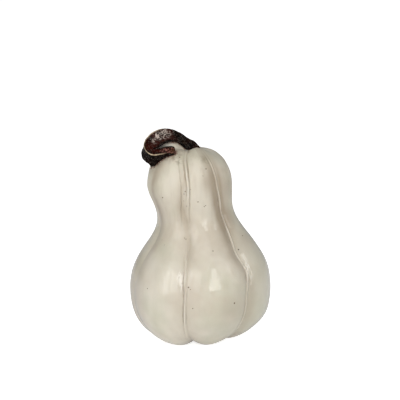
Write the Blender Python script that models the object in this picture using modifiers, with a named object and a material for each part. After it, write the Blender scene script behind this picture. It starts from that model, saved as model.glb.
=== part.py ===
"""Mini white pumpkin: a small pear-shaped white gourd, 75 mm across the belly, with a dry curled stem.

Metres, +Z up. The origin is on the ground under the middle of the fruit. The front faces -Y.
An azimuth is measured round +Z from the front, and is positive towards +X.
"""

import math

import bmesh
import bpy
from mathutils import Vector
from mathutils.geometry import interpolate_bezier

MM = 0.001
STRAIGHT = 0.001  # A path that turns by less than this, in radians, counts as straight.

# Fruit: the sizes of the turned outline.
BELLY_RADIUS = 37.8 * MM
BELLY_HEIGHT = 28.6 * MM
WAIST_RADIUS = 20.9 * MM
WAIST_HEIGHT = 70.8 * MM
HEAD_RADIUS = 22.6 * MM
HEAD_HEIGHT = 84.3 * MM
CROWN_RADIUS = 9.0 * MM
CROWN_HEIGHT = 103.4 * MM
DIMPLE_HEIGHT = 102.2 * MM
FOOT_RADIUS = 13.2 * MM
FOOT_WIDTH = 3.2 * MM  # The level ring that the lobes stand on.
BLOSSOM_HEIGHT = 2.7 * MM
FLAT = 0.3 * MM  # How much of the lobes' underside the ground has pressed flat.

# The outline's knots, from the crown dimple down to the blossom end: radius, height, the way the skin
# runs there, how far it holds that way before and after the knot, and the steps to the next knot.
OUT, DOWN, IN = Vector((1.0, 0.0)), Vector((0.0, -1.0)), Vector((-1.0, 0.0))
OUTLINE = (
    (0.0, DIMPLE_HEIGHT, OUT, 0.0, 3.5 * MM, 4),
    (CROWN_RADIUS, CROWN_HEIGHT, OUT, 4.0 * MM, 7.8 * MM, 9),
    (HEAD_RADIUS, HEAD_HEIGHT, DOWN, 9.6 * MM, 5.5 * MM, 4),
    (WAIST_RADIUS, WAIST_HEIGHT, DOWN, 5.5 * MM, 13.6 * MM, 10),
    (BELLY_RADIUS, BELLY_HEIGHT, DOWN, 22.3 * MM, 17.2 * MM, 10),
    (FOOT_RADIUS, -FLAT, IN, 15.4 * MM, 0.0, 1),
    (FOOT_RADIUS - FOOT_WIDTH, -FLAT, IN, 0.0, 4.0 * MM, 5),
    (0.0, BLOSSOM_HEIGHT, IN, 2.5 * MM, 0.0, 0),
)

# The neck leans to the left: how far the axis stands off to the side at each height.
LEAN_HEIGHTS = (BELLY_HEIGHT, 54.0 * MM, 85.0 * MM)
LEANS = (-0.2 * MM, 0.6 * MM, -5.9 * MM)

# Each furrow's azimuth in degrees at the four heights below.
FURROW_HEIGHTS = (BELLY_HEIGHT, 54.0 * MM, WAIST_HEIGHT, 95.0 * MM)
FURROWS = (
    (-70, -63, -76, -64),
    (-12, -15, -15, -5),
    (42, 36, 42, 41),
    (99, 101, 97, 100),
    (149, 146, 152, 148),
    (198, 201, 195, 200),
    (246, 248, 243, 247),
)
# How deep the furrows are at the blossom end, the belly, the shoulder, the waist and the crown,
# and each furrow's share of that depth.
DEPTH_HEIGHTS = (0.0, BELLY_HEIGHT, 54.0 * MM, WAIST_HEIGHT, 98.0 * MM)
DEPTHS = (2.6 * MM, 1.7 * MM, 2.1 * MM, 1.4 * MM, 0.7 * MM)
FURROW_SHARES = (1.0, 0.85, 1.4, 1.0, 1.1, 0.9, 1.1)
FURROW_SHARPNESS = 2.2
FURROW_START = 9.0 * MM  # A furrow reaches its depth at this distance from the axis.

# Each lobe's own shape, from the left front one round by the right: how far its foot reaches out,
# and how much higher than the plain outline it stands at the foot and at the crown.
LOBES = (
    (1.00, 0.0 * MM, 0.0 * MM),
    (0.78, 0.0 * MM, 0.0 * MM),
    (0.92, 2.1 * MM, -1.6 * MM),
    (1.00, 0.0 * MM, -0.6 * MM),
    (0.95, 0.0 * MM, 0.5 * MM),
    (1.00, 0.0 * MM, 2.2 * MM),
    (1.00, 0.0 * MM, 3.0 * MM),
)
FOOT_FADE = 20.0 * MM
CROWN_FADE = 14.0 * MM

COLUMNS_PER_LOBE = 12
COLUMN_CROWDING = 0.5  # Columns stand closer together near a furrow.

# Stem: a curl in a plane that leans back by 45 degrees and looks 20 degrees to the right.
STEM_BASE = Vector((-4.8 * MM, 0.0, 102.8 * MM))
CURL_TURN = math.radians(20)
CURL_SLOPE = math.radians(45)
# The middle of the curl's upper face: across and up the plane, out of it, then width and depth there.
STEM_PATH = (
    (0.2, -4.9, 0.0, 9.0, 8.0),
    (0.3, 1.0, 0.4, 8.2, 7.5),
    (-3.3, 4.6, 1.6, 6.4, 6.5),
    (-7.6, 6.7, 3.1, 7.4, 7.0),
    (-13.3, 7.3, 3.9, 9.0, 8.0),
    (-19.2, 4.7, 4.7, 8.9, 9.0),
    (-23.9, 0.0, 5.5, 7.8, 10.0),
    (-23.8, -3.7, 5.9, 5.6, 10.5),
    (-20.4, -4.9, 6.3, 3.6, 10.5),
    (-16.5, -3.9, 6.3, 4.0, 9.5),
    (-13.8, -4.0, 6.3, 4.9, 8.5),
    (-12.0, -4.2, 6.1, 3.4, 6.5),
)
STEM_SECTION = (
    (0.50, -0.02),
    (-0.50, -0.02),
    (-0.29, -0.36),
    (0.12, -0.98),
    (0.46, -0.78),
)
SCALLOP = 0.07
SIDE_POINTS = 4
STATION_STEPS = 4
STEM_CAP = 1.2 * MM  # How far each end of the stem swells out.
BEND_SHARE = 0.7  # The inner side reaches no further than this share of the way to a bend's centre.
GAP = 0.3 * MM  # The stem's clearance to the fruit it grows from.

SKIN_COLOUR = (0.66, 0.60, 0.49, 1.0)
STEM_COLOUR = (0.035, 0.014, 0.010, 1.0)


def smoothstep(start, end, value):
    share = min(max((value - start) / (end - start), 0.0), 1.0)
    return share * share * (3.0 - 2.0 * share)


def along(heights, values, height):
    """The value at a height, eased between the heights at which it is given."""
    for low, high, first, second in zip(heights, heights[1:], values, values[1:]):
        if height < high:
            return first + (second - first) * smoothstep(low, high, height)
    return values[-1]


def make_material(name, colour, roughness):
    material = bpy.data.materials.new(name)
    material.use_nodes = True
    shader = material.node_tree.nodes["Principled BSDF"]
    shader.inputs["Base Color"].default_value = colour
    shader.inputs["Roughness"].default_value = roughness
    shader.inputs["Metallic"].default_value = 0.0
    return material


def skin_material():
    return make_material("fruit_skin", SKIN_COLOUR, 0.28)


def stem_material():
    return make_material("stem_bark", STEM_COLOUR, 0.4)


def outline():
    """Points along the outline: an arc from each knot to the next one."""
    points = []
    for knot, following in zip(OUTLINE, OUTLINE[1:]):
        radius, height, heading, _, hold, steps = knot
        next_radius, next_height, next_heading, next_hold, _, _ = following
        start = Vector((radius, height))
        end = Vector((next_radius, next_height))
        handles = start + heading * hold, end - next_heading * next_hold
        points += interpolate_bezier(start, *handles, end, steps + 1)[:-1]
    return points + [end]


def turned_mesh():
    """The outline turned about Z, with a column of points on each furrow."""
    points = outline()
    profile = bpy.data.meshes.new("outline")
    profile.from_pydata(
        [(radius, 0.0, height) for radius, height in points],
        [(i, i + 1) for i in range(len(points) - 1)],
        [],
    )
    turned = bpy.data.objects.new("outline", profile)
    bpy.context.scene.collection.objects.link(turned)
    screw = turned.modifiers.new("turn", "SCREW")
    screw.steps = len(LOBES) * COLUMNS_PER_LOBE
    screw.render_steps = screw.steps
    screw.use_merge_vertices = True
    screw.merge_threshold = 0.01 * MM
    graph = bpy.context.evaluated_depsgraph_get()
    mesh = bpy.data.meshes.new_from_object(turned.evaluated_get(graph))
    bpy.data.objects.remove(turned)
    bpy.data.meshes.remove(profile)
    return mesh


def lobe_place(turn, height):
    """A column's lobe and azimuth, 0 on a furrow to 1 on the crest, and that furrow's share of depth."""
    lobe = int(turn * len(LOBES)) % len(LOBES)
    across = turn * len(LOBES) % 1.0
    eased = across - COLUMN_CROWDING * math.sin(2 * math.pi * across) / (2 * math.pi)
    start = along(FURROW_HEIGHTS, FURROWS[lobe], height)
    end = along(FURROW_HEIGHTS, FURROWS[(lobe + 1) % len(FURROWS)], height)
    if lobe == len(LOBES) - 1:
        end += 360.0
    azimuth = math.radians(start + (end - start) * eased)
    nearest = (lobe + round(across)) % len(FURROWS)
    return lobe, azimuth, 1.0 - abs(2.0 * eased - 1.0), FURROW_SHARES[nearest]


def lobed(point, normal):
    """A point of the turned outline, moved to its place on the lobed and leaning fruit."""
    turn = math.atan2(point.y, point.x) / (2 * math.pi) % 1.0
    turn = round(turn * len(LOBES) * COLUMNS_PER_LOBE) / (len(LOBES) * COLUMNS_PER_LOBE) % 1.0
    lobe, azimuth, crest, share = lobe_place(turn, point.z)
    reach, foot_lift, crown_lift = LOBES[lobe]
    outward = Vector((math.sin(azimuth), -math.cos(azimuth), 0.0))
    radius = math.hypot(point.x, point.y)
    slope = Vector((math.hypot(normal.x, normal.y), normal.z))
    pressed = share * along(DEPTH_HEIGHTS, DEPTHS, point.z) * (1.0 - crest) ** FURROW_SHARPNESS
    pressed *= smoothstep(0.0, FURROW_START, radius)
    fullness = math.sin(0.5 * math.pi * crest)
    low = fullness * (1.0 - smoothstep(0.0, FOOT_FADE, point.z))
    high = fullness * smoothstep(CROWN_HEIGHT - CROWN_FADE, CROWN_HEIGHT, point.z)
    high *= smoothstep(0.0, CROWN_RADIUS, radius)
    radius = radius * (1.0 + (reach - 1.0) * low) - slope.x * pressed
    height = point.z - slope.y * pressed + foot_lift * low + crown_lift * high
    lean = along(LEAN_HEIGHTS, LEANS, height)
    return outward * radius + Vector((lean, 0.0, max(height, 0.0)))


def fruit_mesh():
    mesh = turned_mesh()
    mesh.name = "fruit"
    normals = [vertex.normal.copy() for vertex in mesh.vertices]
    for vertex, normal in zip(mesh.vertices, normals):
        vertex.co = lobed(vertex.co, normal)
    mesh.shade_smooth()
    return mesh


def curl_frame():
    """The curl plane's own axes: across it, up it, and out of its face."""
    across = Vector((math.cos(CURL_TURN), math.sin(CURL_TURN), 0.0))
    back = Vector((-math.sin(CURL_TURN), math.cos(CURL_TURN), 0.0))
    up = back * math.cos(CURL_SLOPE) + Vector((0.0, 0.0, math.sin(CURL_SLOPE)))
    return across, up, across.cross(up)


def stem_stations():
    """The path's rows, eased by a Catmull-Rom curve through them."""
    rows = [Vector(row) for row in STEM_PATH]
    rows = [2 * rows[0] - rows[1]] + rows + [2 * rows[-1] - rows[-2]]
    stations = []
    for a, b, c, d in zip(rows, rows[1:], rows[2:], rows[3:]):
        for step in range(STATION_STEPS):
            t = step / STATION_STEPS
            stations.append(
                0.5 * (2 * b + (c - a) * t + (2 * a - 5 * b + 4 * c - d) * t**2
                       + (3 * b - a - 3 * c + d) * t**3)
            )
    return stations + [rows[-2]]


def section_points():
    """The stem's cross-section for a width and depth of 1: ridges with hollows between them."""
    points = []
    middle = Vector((0.0, -0.5))
    for i, corner in enumerate(STEM_SECTION):
        start = Vector(corner)
        end = Vector(STEM_SECTION[(i + 1) % len(STEM_SECTION)])
        for step in range(SIDE_POINTS):
            share = step / SIDE_POINTS
            point = start.lerp(end, share)
            hollow = SCALLOP * math.sin(math.pi * share)
            points.append(point + (middle - point).normalized() * hollow)
    return points


def bend_radius(places, i):
    """How tightly the path bends at a place: the ends bend as the places next to them do."""
    i = min(max(i, 1), len(places) - 2)
    first, second = places[i] - places[i - 1], places[i + 1] - places[i]
    return 0.5 * (first.length + second.length) / max(first.angle(second), STRAIGHT)


def stem_mesh():
    """The curl as a loft: one section at each station, closed by a fan at either end."""
    across, up, out = curl_frame()
    stations = stem_stations()
    places = [STEM_BASE + MM * (row[0] * across + row[1] * up + row[2] * out) for row in stations]
    section = section_points()
    work = bmesh.new()
    rings = []
    for i, (place, row) in enumerate(zip(places, stations)):
        before = places[max(i - 1, 0)]
        after = places[min(i + 1, len(places) - 1)]
        side = (after - before).cross(out).normalized()
        width, depth = row[3] * MM, row[4] * MM
        inner = min(1.0, BEND_SHARE * bend_radius(places, i) / (0.5 * width))
        ring = []
        for x, y in section:
            reach = x * width * (inner if x < 0 else 1.0)
            ring.append(work.verts.new(place + side * reach + out * y * depth))
        rings.append(ring)
    for ring, following in zip(rings, rings[1:]):
        for i in range(len(section)):
            j = (i + 1) % len(section)
            work.faces.new((ring[i], ring[j], following[j], following[i]))
    for ring, heading in ((rings[0], places[0] - places[1]), (rings[-1], places[-1] - places[-2])):
        centre = sum((vertex.co for vertex in ring), Vector()) / len(ring)
        tip = work.verts.new(centre + heading.normalized() * STEM_CAP)
        for i in range(len(section)):
            j = (i + 1) % len(section)
            work.faces.new((ring[i], ring[j], tip))
    bmesh.ops.recalc_face_normals(work, faces=work.faces)
    mesh = bpy.data.meshes.new("stem")
    work.to_mesh(mesh)
    work.free()
    mesh.shade_smooth()
    mesh.set_sharp_from_angle(angle=math.radians(40))
    return mesh


def add_object(name, mesh, collection, material=None):
    made = bpy.data.objects.new(name, mesh)
    if material:
        mesh.materials.append(material)
    collection.objects.link(made)
    return made


def make_cutter(fruit, cutters):
    """The fruit swollen by the gap, to trim the stem's foot and the arm that lies on the shoulder."""
    cutter = add_object("fruit_clearance", fruit.data.copy(), cutters)
    swell = cutter.modifiers.new("gap", "DISPLACE")
    swell.strength = GAP
    swell.mid_level = 0.0
    cutter.hide_render = True
    cutter.display_type = "WIRE"
    return cutter


def clear_scene():
    for old in list(bpy.data.objects):
        bpy.data.objects.remove(old)


def main():
    clear_scene()
    parts = bpy.data.collections.new("mini_white_pumpkin")
    cutters = bpy.data.collections.new("cutters")
    for collection in (parts, cutters):
        bpy.context.scene.collection.children.link(collection)
    fruit = add_object("fruit", fruit_mesh(), parts, skin_material())
    stem = add_object("stem", stem_mesh(), parts, stem_material())
    trim = stem.modifiers.new("trim", "BOOLEAN")
    trim.operation = "DIFFERENCE"
    trim.use_self = True
    trim.object = make_cutter(fruit, cutters)


main()
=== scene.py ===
# %% [markdown]
# # A mini white pumpkin
#
# This file dresses the plain solid model of a small pear-shaped pumpkin for a studio picture. The solid
# stays the frame: every piece here sits where the solid says, and has its sizes. The fruit and the stem
# are grown again by geometry nodes, with the fine relief and the masks that their finishes need.

# %% Load the solid model
import math

import bpy
from mathutils import Matrix, Vector
from mathutils.bvhtree import BVHTree
from mathutils.geometry import interpolate_bezier


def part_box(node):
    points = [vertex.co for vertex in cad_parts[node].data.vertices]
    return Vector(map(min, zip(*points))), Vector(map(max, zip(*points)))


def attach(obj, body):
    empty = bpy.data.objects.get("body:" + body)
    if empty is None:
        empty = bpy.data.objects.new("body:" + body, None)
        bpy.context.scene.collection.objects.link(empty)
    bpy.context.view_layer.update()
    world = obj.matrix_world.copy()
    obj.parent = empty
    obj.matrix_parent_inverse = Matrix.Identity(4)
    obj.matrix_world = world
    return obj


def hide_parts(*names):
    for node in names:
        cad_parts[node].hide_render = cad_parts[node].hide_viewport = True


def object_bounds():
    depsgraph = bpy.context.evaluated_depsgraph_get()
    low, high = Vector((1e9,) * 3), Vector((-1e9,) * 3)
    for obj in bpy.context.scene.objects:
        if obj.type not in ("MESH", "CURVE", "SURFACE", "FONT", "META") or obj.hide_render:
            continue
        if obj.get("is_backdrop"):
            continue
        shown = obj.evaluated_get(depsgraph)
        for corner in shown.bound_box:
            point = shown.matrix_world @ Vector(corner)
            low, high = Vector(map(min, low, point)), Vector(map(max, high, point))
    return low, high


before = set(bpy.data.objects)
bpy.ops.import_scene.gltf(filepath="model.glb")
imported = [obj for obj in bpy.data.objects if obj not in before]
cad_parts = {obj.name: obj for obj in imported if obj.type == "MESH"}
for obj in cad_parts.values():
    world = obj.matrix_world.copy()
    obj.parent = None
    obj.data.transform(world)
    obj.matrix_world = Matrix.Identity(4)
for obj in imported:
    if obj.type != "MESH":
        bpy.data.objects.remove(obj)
solid_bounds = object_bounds()
MM = 0.001
scene = bpy.context.scene
print("solid nodes:", sorted(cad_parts))

# %% [markdown]
# ## A bench for wiring nodes
#
# A shape that follows a formula takes a hundred or more nodes, and wiring them by hand hides the formula.
# So a `Signal` stands for one output in a tree, and sums and products of signals add the Math nodes. The
# same bench wires geometry trees, materials and shader groups.

# %% Signals and the bench


def arithmetic(operation, swapped=False):
    def wire(self, other):
        pair = (other, self) if swapped else (self, other)
        return self.bench.maths(operation, *pair)

    return wire


class Signal:
    """One output of a node. Arithmetic on it adds Math nodes to its tree."""

    def __init__(self, bench, socket):
        self.bench = bench
        self.socket = socket

    @property
    def node(self):
        return self.socket.node

    def __getitem__(self, name):
        return Signal(self.bench, self.node.outputs[name])

    __add__, __radd__ = arithmetic("ADD"), arithmetic("ADD", True)
    __sub__, __rsub__ = arithmetic("SUBTRACT"), arithmetic("SUBTRACT", True)
    __mul__, __rmul__ = arithmetic("MULTIPLY"), arithmetic("MULTIPLY", True)
    __truediv__, __rtruediv__ = arithmetic("DIVIDE"), arithmetic("DIVIDE", True)
    __pow__ = arithmetic("POWER")


class Bench:
    """A node tree that is being wired, one call to a node."""

    def __init__(self, tree):
        self.tree = tree

    def add(self, kind, feeds=None, **settings):
        node = self.tree.nodes.new(kind)
        place = len(self.tree.nodes)
        node.location = (place // 8 * 220, -(place % 8) * 200)
        for name, value in settings.items():
            setattr(node, name, value)
        for name, value in (feeds or {}).items():
            self.feed(node.inputs[name], value)
        return Signal(self, node.outputs[0]) if node.outputs else node

    def feed(self, socket, value):
        if isinstance(value, Signal):
            self.tree.links.new(value.socket, socket)
        else:
            socket.default_value = value

    def maths(self, operation, *values):
        return self.add("ShaderNodeMath", dict(enumerate(values)), operation=operation)

    def ramp(self, value, start, end, low=0.0, high=1.0, curve="SMOOTHSTEP"):
        """Runs from low to high while the value runs from start to end, and holds outside."""
        feeds = {"Value": value, "From Min": start, "From Max": end, "To Min": low, "To Max": high}
        return self.add("ShaderNodeMapRange", feeds, interpolation_type=curve)

    def fade(self, value, start, end):
        """1 up to the start, and 0 from the end on."""
        return self.ramp(value, start, end, 1.0, 0.0)

    def eased(self, value, places, amounts, curve="SMOOTHSTEP"):
        """The amount at a value, eased between the places at which it is given."""
        total = amounts[0]
        for start, end, first, second in zip(places, places[1:], amounts, amounts[1:]):
            total = self.ramp(value, start, end, 0.0, second - first, curve) + total
        return total

    def hump(self, distance, reach):
        """A smooth hump that is 1 at no distance, and has faded out at about twice its reach."""
        share = distance / reach
        return self.maths("EXPONENT", share * share * -1.0)

    def vector(self, x=0.0, y=0.0, z=0.0):
        return self.add("ShaderNodeCombineXYZ", {0: x, 1: y, 2: z})

    def axes(self, vector):
        parts = self.add("ShaderNodeSeparateXYZ", {0: vector})
        return parts["X"], parts["Y"], parts["Z"]

    def vectors(self, operation, *values, scale=None):
        feeds = dict(enumerate(values))
        if scale is not None:
            feeds["Scale"] = scale
        return self.add("ShaderNodeVectorMath", feeds, operation=operation)

    def noise(self, vector, size, detail=2.0, roughness=0.5, distortion=0.0):
        """Cloudy noise with patches of about that size, in metres, from 0 to 1 with 0.5 as its middle."""
        feeds = {"Vector": vector, "Scale": 1.0 / size, "Detail": detail,
                 "Roughness": roughness, "Distortion": distortion}
        return self.add("ShaderNodeTexNoise", feeds)

    def blend(self, share, first, second):
        """Two colours mixed by a share from 0 to 1."""
        return self.add("ShaderNodeMix", {0: share, 6: first, 7: second}, data_type="RGBA")[2]


def put(name, data):
    """A new object in the scene."""
    holder = bpy.data.objects.new(name, data)
    scene.collection.objects.link(holder)
    return holder


def plain_mesh(holder):
    """The mesh that an object's modifiers give. The object itself is taken away."""
    graph = bpy.context.evaluated_depsgraph_get()
    mesh = bpy.data.meshes.new_from_object(holder.evaluated_get(graph))
    bpy.data.objects.remove(holder)
    return mesh


print("bench ready")

# %% [markdown]
# ## Trees with named inputs
#
# Every tree says which sizes it takes, so that somebody can turn them in the modifier's panel. A tree is
# run on a small base mesh, its result is kept as a plain mesh, and the modifier goes. The piece that is
# left needs nothing live to be drawn or exported.

# %% Start, end and run a geometry tree

KINDS = {float: "NodeSocketFloat", int: "NodeSocketInt"}


class GrowingBench(Bench):
    """A bench for a geometry tree that takes a base mesh, a material and named sizes."""

    def __init__(self, name, **sizes):
        super().__init__(bpy.data.node_groups.new(name, "GeometryNodeTree"))
        self.tree.interface.new_socket("Geometry", in_out="INPUT", socket_type="NodeSocketGeometry")
        self.tree.interface.new_socket("Geometry", in_out="OUTPUT", socket_type="NodeSocketGeometry")
        self.tree.interface.new_socket("Material", in_out="INPUT", socket_type="NodeSocketMaterial")
        for label, size in sizes.items():
            kind = KINDS.get(type(size), "NodeSocketObject")
            socket = self.tree.interface.new_socket(label, in_out="INPUT", socket_type=kind)
            if size is not None:
                socket.default_value = size
        self.taken = self.add("NodeGroupInput")

    def keep(self, geometry, **masks):
        """Stores values on the points under names that the materials can read."""
        for name, value in masks.items():
            feeds = {"Geometry": geometry, "Name": name, "Value": value}
            geometry = self.add("GeometryNodeStoreNamedAttribute", feeds, data_type="FLOAT", domain="POINT")
        return geometry

    def stored(self, name):
        """Reads back a value that was stored under a name."""
        return self.add("GeometryNodeInputNamedAttribute", {"Name": name}, data_type="FLOAT")

    def pick(self, index, values):
        """The value with that number in a row of values."""
        switch = self.add("GeometryNodeIndexSwitch", data_type="FLOAT")
        while len(switch.node.index_switch_items) < len(values):
            switch.node.index_switch_items.new()
        self.feed(switch.node.inputs["Index"], index)
        for number, value in enumerate(values):
            self.feed(switch.node.inputs[str(number)], value)
        return switch

    def here(self):
        """Where each point is."""
        return self.add("GeometryNodeInputPosition")

    def mesh_of(self, holder):
        return self.add("GeometryNodeObjectInfo", {"Object": holder})["Geometry"]

    def line(self, mesh):
        """A curve through the joined points of a mesh."""
        return self.add("GeometryNodeMeshToCurve", {"Mesh": mesh})

    def sample(self, curve, factor, value=0.0):
        """Where a curve is at a factor from 0 to 1 of its length, and a value that its points have."""
        feeds = {"Curves": curve, "Factor": factor, "Value": value}
        return self.add("GeometryNodeSampleCurve", feeds, mode="FACTOR", data_type="FLOAT")

    def placed(self, geometry, position):
        return self.add("GeometryNodeSetPosition", {"Geometry": geometry, "Position": position})

    def pushed(self, geometry, distance):
        """Moves every point along its normal."""
        way = self.vectors("SCALE", self.add("GeometryNodeInputNormal"), scale=distance)
        return self.add("GeometryNodeSetPosition", {"Geometry": geometry, "Offset": way})

    def closed(self, mesh):
        """Joins the points that lie on each other at a seam or a pole, and turns the faces outwards."""
        joined = self.add("GeometryNodeMergeByDistance", {"Geometry": mesh, "Distance": 0.0005 * MM})
        return self.add("GeometryNodeFlipFaces", {"Mesh": joined})

    def finish(self, geometry):
        smooth = self.add("GeometryNodeSetShadeSmooth", {"Geometry": geometry})
        real = self.add("GeometryNodeRealizeInstances", {"Geometry": smooth})
        dressed = self.add("GeometryNodeSetMaterial", {"Geometry": real, "Material": self.taken["Material"]})
        self.add("NodeGroupOutput", {"Geometry": dressed})
        return self.tree


def grow(name, tree, base, **sizes):
    """Runs a tree on a base mesh and keeps the result as a plain mesh."""
    seed = put(name + "_seed", base)
    modifier = seed.modifiers.new("grow", "NODES")
    modifier.node_group = tree
    for socket in tree.interface.items_tree:
        if socket.in_out == "INPUT" and socket.name in sizes:
            modifier[socket.identifier] = sizes[socket.name]
    mesh = plain_mesh(seed)
    mesh.name = name
    mesh.materials.clear()  # The grid brings an empty slot of its own.
    mesh.materials.append(sizes["Material"])
    mesh.polygons.foreach_set("material_index", [0] * len(mesh.polygons))
    print(name, "has", sum(len(face.vertices) - 2 for face in mesh.polygons), "triangles")
    return put(name, mesh)


def line_mesh(name, points, closed=False, **values):
    """A row of points joined by edges, with named values on the points."""
    mesh = bpy.data.meshes.new(name)
    edges = [(i, i + 1) for i in range(len(points) - 1)]
    if closed:
        edges.append((len(points) - 1, 0))
    mesh.from_pydata([tuple(point) for point in points], edges, [])
    for label, row in values.items():
        mesh.attributes.new(label, "FLOAT", "POINT").data.foreach_set("value", row)
    return mesh


print("trees can take:", *sorted(kind.__name__ for kind in KINDS), "and object")

# %% [markdown]
# ## Materials that wait for their nodes
#
# The trees end by giving their mesh a material, so the materials are named first. What they look like is
# worked out further down, when the masks that they read have been made.

# %% Name the finishes
skin_finish = bpy.data.materials.new("fruit_skin")
stem_finish = bpy.data.materials.new("stem_bark")
speck_finish = bpy.data.materials.new("corky_specks")
scar_finish = bpy.data.materials.new("blossom_scar")
print("finishes:", [finish.name for finish in bpy.data.materials])

# %% [markdown]
# ## The path of the stem
#
# The real stem is a dry ridged ribbon. It rises from the crown, curls over the left shoulder and comes
# back on itself. A curve with a bevel can't do it, because the width, the depth and the reach of the
# inner side all change on the way. So each row of the path says where the middle of the upper face is in
# the plane of the curl, how wide and deep the stem is there, and how far its back leans outwards.

# %% The curl's plane and its rows
STEM_BASE = Vector((-4.8 * MM, 0.0, 102.8 * MM))
CURL_TURN = math.radians(20)
CURL_SLOPE = math.radians(45)
STEM_PATH = (
    (0.2, -4.9, 0.0, 9.0, 8.0, 0.0),
    (0.3, 1.0, 0.4, 8.2, 7.5, 0.0),
    (-3.3, 4.6, 1.6, 6.4, 6.5, 0.0),
    (-7.6, 6.7, 3.1, 7.4, 7.0, 0.0),
    (-13.3, 7.3, 3.9, 9.0, 8.0, 0.0),
    (-19.2, 4.7, 4.7, 8.9, 9.0, 0.0),
    (-23.9, 0.0, 5.5, 7.8, 10.0, 0.0),
    (-23.8, -3.4, 5.9, 5.6, 10.8, 0.0),
    (-20.4, -4.3, 6.3, 3.6, 14.6, 0.02),
    (-16.5, -3.7, 6.3, 4.0, 9.6, 0.15),
    (-13.4, -4.0, 6.3, 4.9, 9.0, 0.18),
    (-10.9, -4.3, 6.1, 3.6, 6.5, 0.08),
)
STATION_STEPS = 12
BEND_SHARE = 0.7

curl_across = Vector((math.cos(CURL_TURN), math.sin(CURL_TURN), 0.0))
curl_back = Vector((-math.sin(CURL_TURN), math.cos(CURL_TURN), 0.0))
curl_up = curl_back * math.cos(CURL_SLOPE) + Vector((0.0, 0.0, math.sin(CURL_SLOPE)))
curl_out = curl_across.cross(curl_up)


def stem_stations():
    """The path's rows, eased by a Catmull-Rom curve through them."""
    rows = [Vector(row) for row in STEM_PATH]
    rows = [2 * rows[0] - rows[1]] + rows + [2 * rows[-1] - rows[-2]]
    stations = []
    for a, b, c, d in zip(rows, rows[1:], rows[2:], rows[3:]):
        for step in range(STATION_STEPS):
            t = step / STATION_STEPS
            stations.append(
                0.5 * (2 * b + (c - a) * t + (2 * a - 5 * b + 4 * c - d) * t**2
                       + (3 * b - a - 3 * c + d) * t**3)
            )
    return stations + [rows[-2]]


def inner_reach(places, widths):
    """How much of its half width the inner side may have before it crosses the bend's centre."""
    shares = []
    apart = STATION_STEPS // 4
    for i, width in enumerate(widths):
        i = min(max(i, apart), len(places) - 1 - apart)
        first, second = places[i] - places[i - apart], places[i + apart] - places[i]
        bend = 0.5 * (first.length + second.length) / max(first.angle(second), 0.001)
        shares.append(min(1.0, BEND_SHARE * bend / (0.5 * width)))
    return shares


stations = stem_stations()
stem_places = [STEM_BASE + MM * (row[0] * curl_across + row[1] * curl_up + row[2] * curl_out)
               for row in stations]
widths = [row[3] * MM for row in stations]
stem_line = line_mesh("stem_line", stem_places, width=widths, depth=[row[4] * MM for row in stations],
                      inner=inner_reach(stem_places, widths), flare=[row[5] for row in stations])
stem_length = sum((b - a).length for a, b in zip(stem_places, stem_places[1:]))
print("the stem's path is", round(stem_length / MM, 1), "mm long")

# %% [markdown]
# ## The stem's cross-section
#
# Cut across, the stem is a wedge with five ridges and a hollow between each two of them. The flat upper
# face looks at the viewer, and the deep outer wall stands behind it. A round section with a bump map would
# look like a cable, so the ridges are drawn as corners, and each side between two of them is bent inwards.

# %% The wedge
STEM_SECTION = ((0.50, -0.02), (-0.50, -0.02), (-0.29, -0.36), (0.12, -0.98), (0.46, -0.78))
SCALLOP = 0.07
SIDE_POINTS = 8


def section_points():
    points = []
    middle = Vector((0.0, -0.5))
    for i, corner in enumerate(STEM_SECTION):
        start = Vector(corner)
        end = Vector(STEM_SECTION[(i + 1) % len(STEM_SECTION)])
        for step in range(SIDE_POINTS):
            share = step / SIDE_POINTS
            point = start.lerp(end, share)
            hollow = SCALLOP * math.sin(math.pi * share)
            points.append((point + (middle - point).normalized() * hollow).to_3d())
    return points


section_line = line_mesh("section_line", section_points(), closed=True)
section_holder = put("section_holder", section_line)
print("the section has", len(section_line.vertices), "points")

# %% [markdown]
# ## Growing the stem
#
# A grid is rolled up into the stem: one side of the grid runs along the path and the other runs round
# the section. Each point samples both curves, so more rows only make it finer. Noise that is stretched
# along the path then raises the fibres of the bark, and rounder noise its lumps. The tree also stores
# where a point is along and around the stem, because the bark's colours follow those.

# %% The stem's tree
UPPER_FACE = 0.27  # The share of the way round that the upper face takes.
# Where the worn rim and the glossy arch begin and end, as shares of the way round or along the stem.
RIM_EDGE, RIM_STARTS, RIM_ENDS = (0.009, 0.021), (0.40, 0.50), (0.80, 0.90)
ARCH_EDGE, ARCH_STARTS, ARCH_ENDS = (0.17, 0.23), (0.36, 0.43), (0.56, 0.64)
# The two painted highlights on the arch: middle and length along the stem, width round it, and strength.
SHINE_MIDDLE = 0.10
SHINES = ((0.515, 0.030, 0.050, 1.0), (0.41, 0.045, 0.07, 0.47))


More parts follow.
